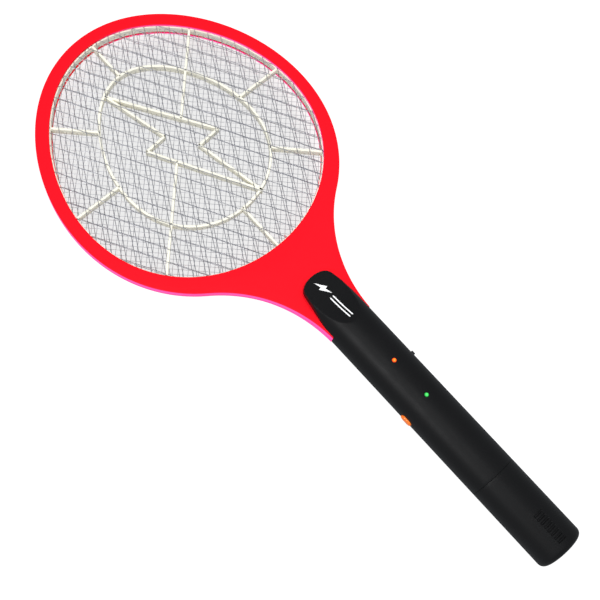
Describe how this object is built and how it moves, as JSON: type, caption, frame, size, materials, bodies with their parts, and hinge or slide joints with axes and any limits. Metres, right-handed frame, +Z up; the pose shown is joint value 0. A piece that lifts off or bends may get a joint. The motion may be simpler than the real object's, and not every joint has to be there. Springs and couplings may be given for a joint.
{
  "type": "electric fly swatter",
  "caption": "Racket-shaped electric fly swatter with an oval red frame, layered wire meshes on an ivory grid, a round black handle with lamps, switch, push button and battery door.",
  "frame": {"origin": "middle of the footprint (bounding box) on the surface that the swatter lies on", "axes": "+X along the handle from the head to the butt, +Y across to the side with the slide switch, +Z up out of the front face with the lamps"},
  "size_m": [0.4764, 0.2004, 0.034],
  "materials": {
    "red_plastic": "satin",
    "ivory_plastic": "satin",
    "mesh_steel": "bright drawn wire",
    "screw_steel": "zinc plated",
    "black_plastic": "fine satin texture",
    "white_print": "pad print",
    "red_lens": "clear diffused lens",
    "green_lens": "clear diffused lens",
    "orange_plastic": "gloss",
    "component_plastic": "moulded",
    "tinned_metal": "tinned",
    "board_laminate": "solder mask",
    "ferrite": "sintered",
    "coil_tape": "polyester tape",
    "capacitor_red": "dipped epoxy",
    "capacitor_sleeve": "heat-shrink sleeve",
    "resistor_body": "lacquer",
    "cell_sleeve": "printed sleeve",
    "wire_red": "insulated",
    "wire_yellow": "insulated",
    "wire_black": "insulated"
  },
  "bodies": {
    "racket": {"front_frame": "red_plastic", "rear_frame": "red_plastic", "front_grid": "ivory_plastic", "rear_grid": "ivory_plastic", "front_mesh": "mesh_steel", "centre_mesh": "mesh_steel", "rear_mesh": "mesh_steel", "frame_screws": "screw_steel", "front_shell": "black_plastic", "rear_shell": "black_plastic", "shell_screws": "screw_steel", "emblem": "white_print", "red_led": "red_lens", "green_led": "green_lens", "led_legs": "tinned_metal", "tact_switch": "component_plastic", "slide_switch": "tinned_metal", "circuit_board": "board_laminate", "transformer_core": "ferrite", "transformer_winding": "coil_tape", "storage_capacitor": "capacitor_red", "smoothing_capacitor": "capacitor_sleeve", "diodes": "component_plastic", "resistors": "resistor_body", "transistor": "component_plastic", "battery_cells": "cell_sleeve", "cell_contacts": "tinned_metal", "contact_springs": "tinned_metal", "bridge_contact": "tinned_metal", "outer_mesh_lead": "wire_red", "centre_mesh_lead": "wire_yellow", "battery_lead_red": "wire_red", "battery_lead_black": "wire_black"},
    "push_button": {"push_button": "orange_plastic", "switch_plunger": "component_plastic"},
    "slide_knob": {"slide_knob": "component_plastic"},
    "battery_door": {"battery_door": "black_plastic"}
  },
  "joints": [
    {"name": "button_press", "type": "slide", "parent": "racket", "child": "push_button", "axis": [0, 1, 0], "range_m": [0, 0.001], "stiffness_N_per_m": 1500},
    {"name": "switch_slide", "type": "slide", "parent": "racket", "child": "slide_knob", "axis": [-1, 0, 0], "range_m": [0, 0.002]},
    {"name": "door_slide", "type": "slide", "parent": "racket", "child": "battery_door", "axis": [1, 0, 0], "range_m": [0, 0.06]}
  ]
}
